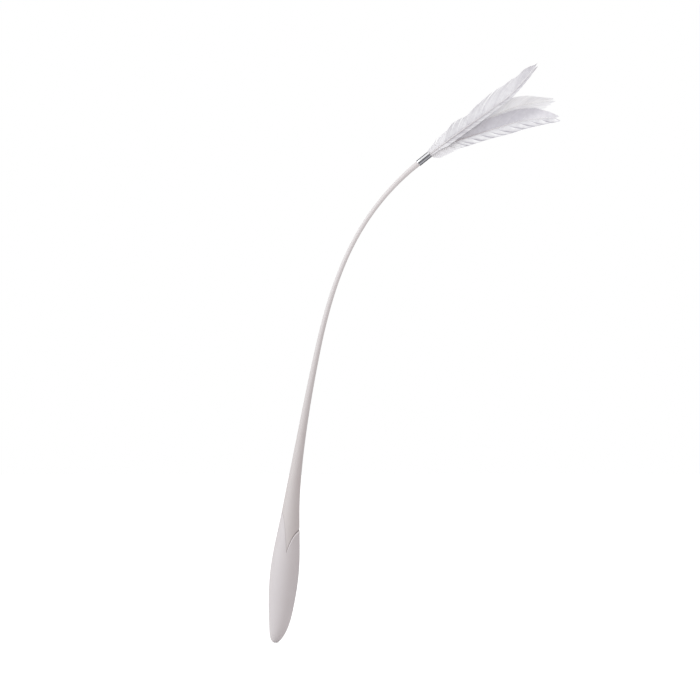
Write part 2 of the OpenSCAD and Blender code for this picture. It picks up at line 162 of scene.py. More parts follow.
class Finish:
    """A material or world whose nodes come from one method."""

    def __init__(self, owner):
        owner.use_nodes = True
        self.owner, self.tree = owner, owner.node_tree
        self.tree.nodes.clear()

    def node(self, kind, settings=None, inputs=None, output=0):
        made = self.tree.nodes.new(kind)
        for name, value in (settings or {}).items():
            setattr(made, name, value)
        for name, value in (inputs or {}).items():
            plug(self.tree, made.inputs[name], value)
        return Value(self.tree, made.outputs[output]) if made.outputs else None

    def mixed(self, amount, first, second):
        """A colour between two others."""
        return self.node("ShaderNodeMix", {"data_type": "RGBA"},
                         {0: amount, 6: first, 7: second}, output=2)

    def place(self, stretch=(1, 1, 1), turn=(0, 0, 0)):
        """The piece's own coordinates, turned and stretched for a pattern."""
        here = self.node("ShaderNodeTexCoord", output="Object")
        return self.node("ShaderNodeMapping", {"vector_type": "TEXTURE"},
                         {"Vector": here, "Rotation": turn, "Scale": stretch})

    def noise(self, size, where, detail=2.0):
        """Soft random patches of about one size, in metres."""
        return self.node("ShaderNodeTexNoise", None,
                         {"Vector": where, "Scale": 1 / size, "Detail": detail})

    def bump(self, height, depth, strength=1.0):
        return self.node("ShaderNodeBump", None,
                         {"Height": height, "Distance": depth, "Strength": strength})

    def surface(self, inputs):
        """Closes the material with one surface shader."""
        shader = self.node("ShaderNodeBsdfPrincipled", None, inputs)
        self.node("ShaderNodeOutputMaterial", None, {"Surface": shader})
        return self.owner


def finish(name):
    return Finish(bpy.data.materials.new(name))


def shaded(colour, share):
    """A colour made darker or lighter by a share."""
    return (*[part * share for part in colour], 1)


print("node helpers ready")

# %% [markdown]
# The wand was photographed on plain white under one large soft light from the upper left. The white must
# not come from more light, which would wash the pale pieces out, so the world is plain white only where the
# camera, a mirror or a glass looks at it, and a quiet grey where it lights the pieces.

# %% World
fill_level = 0.70
fill_tint = (1, 0.965, 0.96)

world = Finish(bpy.data.worlds.new("studio"))
bpy.context.scene.world = world.owner
seen = (world.node("ShaderNodeLightPath", output="Is Camera Ray")
        + world.node("ShaderNodeLightPath", output="Is Glossy Ray")
        + world.node("ShaderNodeLightPath", output="Is Transmission Ray")).clamped()
tone = world.mixed(seen, shaded(fill_tint, fill_level), (1, 1, 1, 1))
world.node("ShaderNodeOutputWorld", None,
           {"Surface": world.node("ShaderNodeBackground", None, {"Color": tone, "Strength": 1.0})})
print("world fill:", fill_level)

# %% [markdown]
# The floor is a plain pale sheet under the butt. Seen level it is only a line, but from above it carries
# the wand's shadow. It shines a little by itself where the camera looks, which lifts it to white and leaves
# the shadow, since a shadow only takes away what the lamps and the world add.

# %% Floor
floor_half = 4.0
floor_own_glow = 0.56
paper_tint = (0.76, 0.76, 0.76)

bm = bmesh.new()
bmesh.ops.create_grid(bm, x_segments=1, y_segments=1, size=floor_half)
bmesh.ops.translate(bm, verts=bm.verts, vec=(0, 0, cad_low.z))
floor = put("floor", mesh_from(bm, "floor"))

paper = finish("floor_paper")
watched = (paper.node("ShaderNodeLightPath", output="Is Camera Ray")
           + paper.node("ShaderNodeLightPath", output="Is Glossy Ray")).clamped()
glow = paper.node("ShaderNodeEmission", None,
                  {"Color": (1, 1, 1, 1), "Strength": watched * floor_own_glow})
matt = paper.node("ShaderNodeBsdfDiffuse", None, {"Color": (*paper_tint, 1)})
both = paper.node("ShaderNodeAddShader", None, {0: matt, 1: glow})
paper.node("ShaderNodeOutputMaterial", None, {"Surface": both})
floor.data.materials.append(paper.owner)
print("floor at", round(cad_low.z, 4))

# %% [markdown]
# The key light is a large square lamp high on the left, which gives the pale left side and the soft dark
# right side of the grip. Its light is a trace cooler than the fill, as in the photograph. A lamp behind
# rims the far edges. A weak one close in front of the feathers opens the shadows that they throw on each
# other, and hardly reaches the grip.

# %% Lamps
wand_middle = Vector((0.09, 0, 0.2))
feather_middle = Vector((0.20, 0, 0.43))


def lamp(name, place, aim, size, power, colour):
    data = bpy.data.lights.new(name, "AREA")
    data.shape, data.size, data.energy, data.color = "SQUARE", size, power, colour
    thing = put(name, data)
    thing.location = place
    thing.rotation_mode = "QUATERNION"
    thing.rotation_quaternion = (aim - thing.location).to_track_quat("-Z", "Y")
    return thing


key_lamp = lamp("key_lamp", place=(-2.2, -1.2, 1.6), aim=wand_middle, size=1.3, power=40,
                colour=(0.90, 0.98, 1.0))
back_lamp = lamp("back_lamp", place=(-0.9, 2.6, 1.5), aim=wand_middle, size=1.6, power=14,
                 colour=(1.0, 0.98, 0.98))
feather_lamp = lamp("feather_lamp", place=(0.27, -0.42, 0.52), aim=feather_middle, size=0.3, power=0.42,
                    colour=(1.0, 0.99, 1.0))
print("lamps:", key_lamp.name, back_lamp.name, feather_lamp.name)

# %% [markdown]
# Every round piece of the wand is threaded on one line, the spine: from the butt's tip through the straight
# grip and along the arching rod. A freehand curve would drift from the real bend, so the line is a chain of
# arcs that meet without a corner, with the leans that the photograph shows, and a place on it is a length.

# %% Spine
grip_lean = 5.8
tip_lean = 51.2
butt_hook = 14.0
butt_len = 0.065
hook_start = 0.038
straight_len = 0.062
rod_len = 0.360
ferrule_low = straight_len + rod_len
no_bend = 1e-6
rod_bend_shares = [(0, 0), (0.07, 0.05), (0.32, 0.11), (0.44, 0.14), (0.57, 0.245), (0.68, 0.395),
                   (0.79, 0.595), (0.9, 0.81), (1, 1)]


def ahead(lean):
    return Vector((math.sin(lean), 0, math.cos(lean)))


def aside(lean):
    return Vector((math.cos(lean), 0, -math.sin(lean)))


class Line:
    """A chain of arcs through rows of (length, lean in degrees), starting at a point."""

    def __init__(self, rows, start=(0, 0, 0)):
        self.rows = [(s, math.radians(lean)) for s, lean in rows]
        self.start = Vector(start)

    def lean(self, s):
        for (low, lean_low), (high, lean_high) in zip(self.rows, self.rows[1:]):
            if s <= high:
                return lean_low + (lean_high - lean_low) * max(0, s - low) / (high - low)
        return self.rows[-1][1]

    def point(self, s):
        spot = self.start.copy()
        for (low, lean_low), (high, _) in zip(self.rows, self.rows[1:]):
            run = min(s, high) - low
            gained = self.lean(low + run) - lean_low
            if abs(gained) < no_bend:
                spot += run * ahead(lean_low)
            else:
                bow = run / gained
                spot += bow * Vector((math.cos(lean_low) - math.cos(lean_low + gained), 0,
                                      math.sin(lean_low + gained) - math.sin(lean_low)))
            if s <= high:
                return spot
        return spot + (s - self.rows[-1][0]) * ahead(self.rows[-1][1])


butt_line = Line([(0, grip_lean), (hook_start, grip_lean), (butt_len, grip_lean + butt_hook)])
rod_bends = [(straight_len + run * rod_len, grip_lean + gain * (tip_lean - grip_lean))
             for run, gain in rod_bend_shares]
rod_line = Line([(0, grip_lean)] + rod_bends)


def spine(s):
    return -butt_line.point(-s) if s < 0 else rod_line.point(s)


def spine_lean(s):
    return butt_line.lean(-s) if s < 0 else rod_line.lean(s)


def skin(s, radius, turn):
    """A point round the spine. A turn of 0 faces the front, and a quarter turn faces +X."""
    return spine(s) + radius * (math.sin(turn) * aside(spine_lean(s)) - math.cos(turn) * Vector((0, 1, 0)))


print("rod's end:", [round(part, 4) for part in spine(ferrule_low)])

# %% [markdown]
# The grip swells from the butt and thins into the rod by one smooth law, like a drop running down a thread.
# The bud and the stem part along a seam that comes to a V at the front. It climbs higher on its left flank
# than on its right, and it is crisp on the right and fades to a soft dent on the left.

# %% Outline and seam
grip_r = 0.01365
rod_r = 0.00155
bell_len = 0.070
bell_power = 2
butt_power = 1.7
butt_round_share = 0.42
collar_swell = 0.00075
collar_power = 10
seam_point = 0.0215
seam_low_rise = 0.0225
seam_high_rise = 0.039
seam_spread = 24.0
seam_soft_share = 0.3
soft_turn = math.radians(15)


def ease(share):
    share = min(max(share, 0), 1)
    return share * share * (3 - 2 * share)


def between(low, high, share):
    return low + (high - low) * share


def swell(s):
    """Radius of the grip and the rod at a place on the spine."""
    if s < 0:
        return grip_r * max(0, 1 - (-s / butt_len) ** butt_power) ** butt_round_share
    return (rod_r + (grip_r - rod_r) / (1 + (s / bell_len) ** bell_power)
            + collar_swell * (s / ferrule_low) ** collar_power)


def seam_side(turn):
    """Which side of the seam a turn is on: 0 on its lower side and 1 on its higher side."""
    back = ease((abs(turn) - math.pi / 2) / (math.pi / 2)) / 2
    return 1 - back if turn < 0 else back


def seam(turn):
    """Height of the seam at a turn."""
    rise = between(seam_low_rise, seam_high_rise, seam_side(turn))
    return seam_point + rise * (1 - math.exp(-abs(math.degrees(turn)) / seam_spread))


def crisp(turn):
    """How sharp the seam is at a turn: fully on its lower side, and softened on its higher one."""
    softened = ease((1 - turn / soft_turn) / 2) if abs(turn) < math.pi / 2 else seam_side(turn)
    return between(1, seam_soft_share, softened)


print("seam from", seam(0), "to", round(seam(math.radians(-90)), 4))

# %% [markdown]
# A lofted body starts as one flat ring. The ring is extruded, and each new ring is moved to its own
# station, as a potter pulls up a wall. Each vertex keeps its turn in an attribute, which the extrusion
# copies. A ring of no radius, or a last ring laid on the first, closes the body once the doubles are
# merged. A second attribute marks the band beside the seam, so that the finish can follow it.

# %% Loft helper
ring_count = 120
crowding = 1.35
weld = 1e-7


def crowded(share):
    """Turns from -half to half a circle, closer together at the front."""
    return math.pi * math.copysign(abs(share) ** crowding, share)


def loft(rings, count=ring_count):
    """A skin through rings, each a function that gives the point at a turn."""
    bm = bmesh.new()
    turn_of = bm.verts.layers.float.new("turn")
    circle = bmesh.ops.create_circle(bm, segments=count, radius=1)["verts"]
    for vert in circle:
        vert[turn_of] = crowded(math.atan2(vert.co.y, vert.co.x) / math.pi)
        vert.co = rings[0](vert[turn_of])
    edges = bm.edges[:]
    for ring in rings[1:]:
        made = bmesh.ops.extrude_edge_only(bm, edges=edges)["geom"]
        verts = {part for part in made if isinstance(part, bmesh.types.BMVert)}
        edges = [part for part in made if isinstance(part, bmesh.types.BMEdge)
                 and part.verts[0] in verts and part.verts[1] in verts]
        for vert in verts:
            vert.co = ring(vert[turn_of])
    bmesh.ops.remove_doubles(bm, verts=bm.verts, dist=weld)
    return bm


def paint_seam_light(bm, above, spread):
    """Marks a band at some height above the seam, strongest where the seam is crisp, for painted light and
    shade.
    """
    turn_of = bm.verts.layers.float["turn"]
    painted_light_of = bm.verts.layers.float.new("seam_painted_light")
    for vert in bm.verts:
        turn = vert[turn_of]
        height = vert.co.dot(ahead(math.radians(grip_lean))) - seam(turn) - above
        vert[painted_light_of] = crisp(turn) * math.exp(-(height / spread) ** 2)


def stops_between(low, high, steps):
    return [between(low, high, i / steps) for i in range(steps + 1)]


def ring_at(s, radius):
    """A ring whose place and radius may be numbers or functions of the turn."""
    def point(turn):
        return skin(s(turn) if callable(s) else s, radius(turn) if callable(radius) else radius, turn)
    return point


def piece_from(bm, name, material, slot, sharp=40):
    """Turns a finished bmesh into an object at the origin, with its finish."""
    bmesh.ops.recalc_face_normals(bm, faces=bm.faces)
    mesh = mesh_from(bm, name)
    mesh.shade_smooth()
    mesh.set_sharp_from_angle(angle=math.radians(sharp))
    mesh.materials.append(material)
    piece = put(name, mesh)
    print(name, "faces:", len(mesh.polygons))
    return piece


# %% [markdown]
# The grip is soft-touch rubber: matt, pale and a little warm, with a very fine moulded grain and faint
# cloudy patches where hands polish it. A flat colour would look like plaster, so the tone, the roughness
# and the bump each take a little noise, at sizes that the eye reads as skin and not as stone. The rod's
# colour is paler further up. Beside the seam the tone follows an attribute of the mesh, so that the line
# stays on its edge: a painted highlight on the bud's rim and painted shade in the stem's groove.

# %% Soft-touch rubber
cloud_size = 0.016
cloud_contrast = 1.6
cloud_share = 0.5
moulded_grain = 0.00045
paler_from = 0.11
paler_to = 0.30


def soft_rubber(name, colour, deeper, paler_colour, painted_seam_colour):
    rubber = finish(name)
    clouds = rubber.noise(cloud_size, rubber.place(), detail=3.0)
    grain = rubber.noise(moulded_grain, rubber.place(), detail=1.0)
    height = rubber.node("ShaderNodeSeparateXYZ", None, {0: rubber.place()}, output="Z")
    # The colour turns paler with height along the rod.
    upwards = ((height - paler_from) * (1 / (paler_to - paler_from))).clamped()
    cloudy = (clouds * cloud_contrast - (cloud_contrast - 1) / 2).clamped() * cloud_share
    tone = rubber.mixed(cloudy, (*colour, 1), (*deeper, 1))
    tone = rubber.mixed(upwards, tone, (*paler_colour, 1))
    # Painted highlight on the bud's rim and painted shade in the stem's groove, along the seam band.
    painted_at_seam = rubber.node("ShaderNodeAttribute", {"attribute_name": "seam_painted_light"}, output="Fac")
    tone = rubber.mixed(painted_at_seam, tone, (*painted_seam_colour, 1))
    return rubber.surface({
        "Base Color": tone,
        "Roughness": 0.50 + clouds * 0.12 + grain * 0.06,
        "Specular IOR Level": 0.38,
        "Sheen Weight": 0.10,
        "Sheen Roughness": 0.5,
        "Normal": rubber.bump(grain, depth=0.00003, strength=0.5),
    })


# The seam colours are painted light: a highlight on the bud's rim and shade in the stem's groove.
bud_rubber = soft_rubber("bud_rubber", colour=(0.635, 0.593, 0.602), deeper=(0.600, 0.553, 0.560),
                         paler_colour=(0.68, 0.64, 0.64), painted_seam_colour=(0.88, 0.84, 0.85))
stem_rubber = soft_rubber("stem_rubber", colour=(0.605, 0.560, 0.557), deeper=(0.565, 0.513, 0.506),
                          paler_colour=(0.675, 0.634, 0.635), painted_seam_colour=(0.24, 0.20, 0.20))
print("finishes:", bud_rubber.name, stem_rubber.name)

# %% [markdown]
# The bud is the teardrop shell at the butt. Its rim is a petal that stands a hair proud of the stem and has
# a small round edge, which catches the light as a fine line along the V, and a painted highlight on that
# edge draws the line stronger. Its outside is lofted from the butt's pole up to that edge, and goes on down
# the inside as the socket of the hard core, so that the shell is real.

# %% Bud
rim_reach = 0.005
rim_proud = 0.00015
rim_round = 0.0007
petal_wall = 0.0012
parting_share = 0.42
parting = seam_point + parting_share * (seam_low_rise + seam_high_rise) / 2
core_r = 0.0055
core_low = 0.036
core_high = 0.047
core_fit = 0.0001
shelf = 0.0012
shelf_r = core_r + core_fit + shelf


def rim_inner(turn):
    return swell(seam(turn)) - petal_wall


def rim_ring(angle):
    """One ring of the rim's round edge, from its outside at 0 to its top at a right angle."""
    below, inside = rim_round * (1 - math.sin(angle)), rim_round * (1 - math.cos(angle))
    return ring_at(lambda turn: seam(turn) - below,
                   lambda turn: swell(seam(turn)) + rim_proud * crisp(turn) - inside)


def lip_ring(share):
    def place(turn):
        return seam(turn) - rim_reach + share * (rim_reach - rim_round)
    return ring_at(place, lambda turn: swell(place(turn)) + rim_proud * crisp(turn) * ease(share))


def side_ring(share):
    def place(turn):
        return (seam(turn) - rim_reach) * share
    return ring_at(place, lambda turn: swell(place(turn)))


butt_steps, side_steps, lip_steps, round_steps = 26, 18, 7, 4
butt_stops = [-butt_len * math.cos(math.radians(90 * i / butt_steps)) for i in range(butt_steps + 1)]
bud_rings = [ring_at(s, swell(s)) for s in butt_stops]
bud_rings += [side_ring(i / side_steps) for i in range(1, side_steps + 1)]
bud_rings += [lip_ring(i / lip_steps) for i in range(1, lip_steps)]
bud_rings += [rim_ring(math.radians(90 * i / round_steps)) for i in range(round_steps + 1)]
bud_rings += [ring_at(seam, rim_inner), ring_at(parting, shelf_r), ring_at(parting, core_r + core_fit),
              ring_at(-core_low, core_r + core_fit), ring_at(-core_low, 0)]
bud_bm = loft(bud_rings)
# Painted highlight on the rim's round edge, just below the seam.
paint_seam_light(bud_bm, above=-0.0005, spread=0.0006)
bud = piece_from(bud_bm, "soft_bud", bud_rubber, "soft_bud")
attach(bud, "handle")
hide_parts("grip_bud")

# %% [markdown]
# The stem comes out of the V and thins into the rod, all in one moulding. A shallow groove runs along its
# side of the seam, where the photograph shows a dark line, and painted shade in the groove draws that line
# darker. It is a tube with a bore for the spring wire, and it is lofted from the socket round the core, out
# along the seam, up the whole rod and back down the bore.

# %% Stem
seam_gap = 0.00015
groove_depth = 0.0006
groove_reach = 0.0035
root_margin = 0.008
root_top = seam_point + seam_high_rise + root_margin
spigot_r = 0.00255
neck_run = 0.0008
neck = ferrule_low - neck_run
neck_top = ferrule_low - neck_run / 3
rod_insert = 0.0045
stem_end = ferrule_low + rod_insert
bore_r = 0.00085
stem_count = 96


def groove_ring(share):
    def place(turn):
        return seam(turn) + seam_gap + groove_reach * share
    return ring_at(place, lambda turn: swell(place(turn)) - groove_depth * crisp(turn) * (1 - share) ** 2)


def root_ring(share):
    def place(turn):
        return between(seam(turn) + seam_gap + groove_reach, root_top, share)
    return ring_at(place, lambda turn: swell(place(turn)))


groove_steps, root_steps, rod_steps = 12, 14, 150
stem_rings = [ring_at(parting + seam_gap, core_r + core_fit), ring_at(parting + seam_gap, shelf_r),
              ring_at(lambda turn: seam(turn) + seam_gap, rim_inner)]
stem_rings += [groove_ring(i / groove_steps) for i in range(groove_steps + 1)]
stem_rings += [root_ring(i / root_steps) for i in range(1, root_steps)]
stem_rings += [ring_at(s, swell(s)) for s in stops_between(root_top, neck, rod_steps)]
stem_rings += [ring_at(neck_top, spigot_r), ring_at(stem_end, spigot_r), ring_at(stem_end, bore_r)]
stem_rings += [ring_at(s, bore_r) for s in stops_between(stem_end, core_high, rod_steps)]
stem_rings += [ring_at(core_high, core_r + core_fit), stem_rings[0]]
stem_bm = loft(stem_rings, stem_count)
# Painted shade in the groove, just above the seam.
paint_seam_light(stem_bm, above=0.0006, spread=0.0009)
stem = piece_from(stem_bm, "soft_stem", stem_rubber, "soft_stem")
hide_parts("stem")

# %% [markdown]
# The steel wire inside carries the spring of the rod. The rod bends, and a stiff piece would break out of
# its side, so the wire and the stem are both skinned between the handle and the tip: a point near the grip
# stays, one near the ferrule goes with it, and the slim stretch between them turns smoothly about the
# joint's place.

# %% Wire and the rod's bend
wire_r = 0.00075
wire_low = -0.0220
wire_out = 0.0012
wire_count = 16
flex_start = 0.15
flex_end = 0.42


def drawn_metal(name, colour, rough):
    metal = finish(name)
    streaks = metal.noise(0.0004, metal.place(stretch=(1, 1, 40)))
    return metal.surface({"Base Color": metal.mixed(streaks * 0.3, (*colour, 1), shaded(colour, 0.8)),
                          "Metallic": 1.0, "Roughness": rough + streaks * 0.1,
                          "Normal": metal.bump(streaks, depth=0.00001, strength=0.4)})


wire_stops = stops_between(wire_low, stem_end + wire_out, rod_steps)
wire_rings = [ring_at(wire_low, 0)] + [ring_at(s, wire_r) for s in wire_stops] + [ring_at(wire_stops[-1], 0)]
wire_steel = drawn_metal("wire_steel", colour=(0.56, 0.57, 0.59), rough=0.3)
wire = piece_from(loft(wire_rings, wire_count), "spring_wire", wire_steel, "spring_wire")
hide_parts("core_wire")
for bending in (stem, wire):
    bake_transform(bending, "handle", "tip", start=spine(flex_start), end=spine(flex_end))
print("rod bends from", flex_start, "to", flex_end)

# %% [markdown]
# The ferrule is a short polished tube, pressed over the rod's end and the quills. A turned piece like this
# is best spun: its wall's profile goes once round the axis, and the sharp lips are then bevelled round. It
# keeps fine marks of drawing along its length, which streak the bright band that the soft light draws on
# it.

# %% Ferrule
ferrule_r = 0.0031
ferrule_wall = 0.00025
ferrule_len = 0.0139
lip_round = 0.00011
lip_corner = math.radians(60)
spin_steps = 96


def polished_metal(name, colour):
    metal = finish(name)
    lean = math.radians(tip_lean)
    lines = metal.noise(0.00022, metal.place(stretch=(1, 1, 60), turn=(0, lean, 0)))
    smudge = metal.noise(0.003, metal.place())
    return metal.surface({"Base Color": (*colour, 1), "Metallic": 1.0,
                          "Roughness": 0.06 + lines * 0.05 + smudge * 0.06,
                          "Normal": metal.bump(lines, depth=0.000006, strength=0.3)})


bm = bmesh.new()
inner_r = ferrule_r - ferrule_wall
wall_profile = [(ferrule_r, 0), (ferrule_r, ferrule_len), (inner_r, ferrule_len), (inner_r, 0)]
corners = [bm.verts.new((radius, 0, height)) for radius, height in wall_profile]
for first, second in zip(corners, corners[1:] + corners[:1]):
    bm.edges.new((first, second))
bmesh.ops.spin(bm, geom=bm.verts[:] + bm.edges[:], cent=(0, 0, 0), axis=(0, 0, 1), angle=math.tau,
               steps=spin_steps, use_merge=True)
bmesh.ops.remove_doubles(bm, verts=bm.verts, dist=weld)
bmesh.ops.recalc_face_normals(bm, faces=bm.faces)
lips = [edge for edge in bm.edges if edge.calc_face_angle(0) > lip_corner]
bmesh.ops.bevel(bm, geom=lips, offset=lip_round, offset_type="OFFSET", affect="EDGES", segments=3,
                profile=0.5, material=-1)
to_ferrule = Matrix.Translation(spine(ferrule_low)) @ Matrix.Rotation(math.radians(tip_lean), 4, "Y")
bmesh.ops.transform(bm, matrix=to_ferrule, verts=bm.verts)
ferrule_polish = polished_metal("ferrule_polish", (0.86, 0.86, 0.88))
ferrule = piece_from(bm, "ferrule_tube", ferrule_polish, "ferrule_metal")
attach(ferrule, "tip")
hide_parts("ferrule")

# %% [markdown]
# Polished metal has no colour of its own and shows its surroundings. In the photograph these are bright at
# the upper left, grey in several steps from the camera's side round to the lower right, and dark again far
# behind, which draws a fine line along the upper edge. Curved cards round the ferrule's own axis give that,
# and only mirrors see them. They stand clear of the whole wand, and are wide and long enough to show in the
# ferrule from other sides and in other poses too. Each is spun from one straight edge, in its own shade of
# grey.

# %% Grey cards
card_round = 0.35
card_half_len = 0.63
card_step = 6
card_cool = 1.05
card_spans = ((-178, -96, 0.13), (-24, 8, 0.09), (8, 50, 0.25), (50, 84, 0.52), (84, 178, 0.10))


def grey_card(card_from, card_to, shade):
    name = f"grey_card_{card_from}"
    grey = finish(name)
    grey.node("ShaderNodeOutputMaterial", None, {"Surface": grey.node(
        "ShaderNodeEmission", None, {"Color": (shade, shade, shade * card_cool, 1), "Strength": 1.0})})
    bm = bmesh.new()
    middle_height = ferrule_len / 2
    ends = [bm.verts.new((0, -card_round, middle_height + side * card_half_len)) for side in (-1, 1)]
    edge = bm.edges.new(ends)
    bmesh.ops.rotate(bm, verts=ends, cent=(0, 0, 0), matrix=Matrix.Rotation(math.radians(card_from), 3, "Z"))
    bmesh.ops.spin(bm, geom=[*ends, edge], cent=(0, 0, 0), axis=(0, 0, 1),
                   angle=math.radians(card_to - card_from), steps=round((card_to - card_from) / card_step))
    bmesh.ops.transform(bm, matrix=to_ferrule, verts=bm.verts)
    card = put(name, mesh_from(bm, name))
    card.data.materials.append(grey.owner)
    card.visible_camera = card.visible_diffuse = card.visible_shadow = False


for span in card_spans:
    grey_card(*span)
print("grey cards:", len(card_spans))

# %% [markdown]
# The hard core, the crimped brass sleeve, the thread and the glue are hidden inside. Their construction
# solids have the right shape, so they stay and only take a finish: moulded plastic, turned brass, twisted
# thread and clear yellowish glue.

# %% Inner pieces
def plain_plastic(name, colour):
    plastic = finish(name)
    grain = plastic.noise(0.0006, plastic.place())
    return plastic.surface({"Base Color": plastic.mixed(grain * 0.4, (*colour, 1), shaded(colour, 1.2)),
                            "Roughness": 0.42 + grain * 0.15,
                            "Normal": plastic.bump(grain, depth=0.00003, strength=0.4)})


def wound_thread(name, colour):
    thread = finish(name)
    lean = math.radians(tip_lean)
    plies = thread.noise(0.00012, thread.place(stretch=(6, 6, 1), turn=(0, lean, 0)), detail=1.0)
    return thread.surface({"Base Color": thread.mixed(plies, shaded(colour, 0.75), (*colour, 1)),
                           "Roughness": 0.8, "Normal": thread.bump(plies, depth=0.00005, strength=0.8)})


def set_glue(name, colour):
    glue = finish(name)
    swirl = glue.noise(0.0015, glue.place())
    return glue.surface({"Base Color": glue.mixed(swirl, (*colour, 1), shaded(colour, 0.85)),
                         "Roughness": 0.16 + swirl * 0.1, "Coat Weight": 0.4,
                         "Normal": glue.bump(swirl, depth=0.0001, strength=0.4)})


inner_finishes = {
    "grip_core": (plain_plastic("core_plastic", (0.085, 0.09, 0.10)), "core_plastic"),
    "wire_anchor": (drawn_metal("anchor_brass", (0.55, 0.42, 0.16), rough=0.28), "anchor_brass"),
    "quill_binding": (wound_thread("binding_thread", (0.71, 0.67, 0.60)), "thread"),
    "glue_plug": (set_glue("glue_clear", (0.74, 0.69, 0.54)), "glue"),
}
for node, (material, slot) in inner_finishes.items():
    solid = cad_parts[node]
    solid.data.materials.clear()
    solid.data.materials.append(material)
print("inner pieces:", sorted(inner_finishes))

# %% [markdown]
# Three feathers stand in the ferrule, one behind another. Each has a line of its own, drawn as the spine
# is: the upper one curls up at its tip and the other two hang further down. Each also lies in its own layer
# from front to back, so that they can sway past each other. All sizes below are those of the construction
# model.

# %% Feather lines
mouth = spine(ferrule_low) + ferrule_len * ahead(math.radians(tip_lean))
quill_r = 0.000625
quill_pitch_share = 0.75
quill_pitch = (inner_r - quill_r) * quill_pitch_share
quill_low = 0.00615
quill_inside = ferrule_len - quill_low
splay = 0.006
splay_power = 1.3
shaft_tip_share = 0.2
shaft_reach_share = 0.975


class Feather:
    """A feather's centre line, layer and shaft."""

    def __init__(self, name, length, layer, bend):
        self.name, self.length, self.layer = name, length, layer
        self.line = Line([(run * length, tip_lean + gain) for run, gain in bend], mouth)

    def depth(self, s):
        return self.layer * (quill_pitch + splay * (max(0, s) / self.length) ** splay_power)

    def point(self, s):
        return self.line.point(s) + Vector((0, self.depth(s), 0))

    def radius(self, s):
        return quill_r * between(1, shaft_tip_share, ease(s / self.length))


upper = Feather("upper", 0.133, -1, [(0, 0), (0.04, 2), (0.45, 3.8), (0.62, 2.8), (0.73, -5.2), (0.85, -10.2),
                                     (1, -9.2)])
middle = Feather("middle", 0.132, 1, [(0, 0), (0.03, 5.8), (0.45, 8.8), (0.62, 15.8), (0.78, 27), (1, 32)])
lower = Feather("lower", 0.129, 0, [(0, 0), (0.04, 8), (0.2, 19), (0.4, 22), (0.58, 21), (0.8, 31), (1, 40)])
for feather in (upper, middle, lower):
    print(feather.name, "tip:", [round(part, 4) for part in feather.point(feather.length)])

# %% [markdown]
# A shaft is horn: glassy and pale in the quill, and darker and drier where it thins between the vanes. Seen
# from below it has a groove along its middle, which draws the fine dark line in the photograph. It is
# lofted like the rod, with the groove pressed into the front of each ring.

# %% Shafts
horn_groove_share = 0.3
horn_groove_turn = math.radians(38)
horn_groove_full = 0.02
shaft_rings = 90
shaft_count = 20


def horn(name, pale, dark):
    material = finish(name)
    lean = math.radians(tip_lean)
    fibres = material.noise(0.0005, material.place(stretch=(1, 1, 8), turn=(0, lean, 0)))
    return material.surface({"Base Color": material.mixed(fibres, (*pale, 1), (*dark, 1)),
                             "Roughness": 0.36 + fibres * 0.2, "Specular IOR Level": 0.5,
                             "Normal": material.bump(fibres, depth=0.00002, strength=0.4)})


pale_horn = horn("pale_horn", pale=(0.76, 0.74, 0.75), dark=(0.66, 0.63, 0.64))
# The lower feather's shaft takes a darker copy of the horn, as painted shade along its line.
shaded_horn = horn("shaded_horn", pale=(0.62, 0.585, 0.61), dark=(0.52, 0.48, 0.50))


def shaft(feather, material):
    top = feather.length * shaft_reach_share

    def ring(s, thick=1.0):
        def point(turn):
            dip = horn_groove_share * math.exp(-(turn / horn_groove_turn) ** 2) * ease(s / horn_groove_full)
            lean = feather.line.lean(s)
            across = math.sin(turn) * aside(lean) - math.cos(turn) * Vector((0, 1, 0))
            return feather.point(s) + feather.radius(s) * thick * (1 - dip) * across
        return point

    stops = stops_between(-quill_inside, top, shaft_rings)
    rings = [ring(stops[0], 0)] + [ring(s) for s in stops] + [ring(stops[-1], 0)]
    return piece_from(loft(rings, shaft_count), feather.name + "_rachis", material, "feather_shaft")


shafts = {feather.name: shaft(feather, material)
          for feather, material in ((upper, pale_horn), (middle, pale_horn), (lower, shaded_horn))}

# %% [markdown]
# A vane looks like a sheet, but it is hundreds of barbs side by side, hooked into locks that part at the
# edge. A sheet with a picture of barbs would show a hard rim, so the barbs are made: one blade with three
# sides is drawn once from a bmesh cone and then laid into the vane again and again, each copy bent to its
# own place.

# %% Blade
blade_cuts = 7


def blade_mesh():
    """A bar with three sides from 0 to 1 along Z, cut into short lengths."""
    bm = bmesh.new()
    bmesh.ops.create_cone(bm, cap_ends=True, segments=3, radius1=1, radius2=1, depth=1)
    bmesh.ops.translate(bm, verts=bm.verts, vec=(0, 0, 0.5))
    long_edges = [edge for edge in bm.edges if abs(edge.verts[0].co.z - edge.verts[1].co.z) > 0.5]
    bmesh.ops.subdivide_edges(bm, edges=long_edges, cuts=blade_cuts)
    return mesh_from(bm, "blade")


blade = blade_mesh()
blade_spots = [vert.co.copy() for vert in blade.vertices]
print("blade faces:", len(blade.polygons))

# %% [markdown]
# A feather grows by a simple plan, so its barbs follow one too. They leave the shaft at a slant that closes
# towards the tip, bow forward until they run almost along the edge, and end where their own tip meets the
# edge. Each vane's edge is a few chosen points, and halving finds where a barb meets it.

# %% Barb plan
slant_power = 0.5
vane_fit = 0.00012
edge_tries = 10
camber_at_foot = 0.35


def along_table(rows, share):
    """The value at a share along a table of (share, value)."""
    for (low, first), (high, second) in zip(rows, rows[1:]):
        if share <= high:
            return between(first, second, (max(share, low) - low) / (high - low))
    return rows[-1][1]


def slant(share, manner):
    foot, tip = manner["slant"]
    return math.radians(between(foot, tip, max(share, 0) ** slant_power))


def tip_out(feather, s, angle, widest, edge):
    """How far from the shaft the barb rooted at s ends."""
    low, high = 0, widest
    for _ in range(edge_tries):
        middle_out = (low + high) / 2
        if widest * along_table(edge, (s + middle_out / math.tan(angle)) / feather.length) > middle_out:
            low = middle_out
        else:
            high = middle_out
    return (low + high) / 2


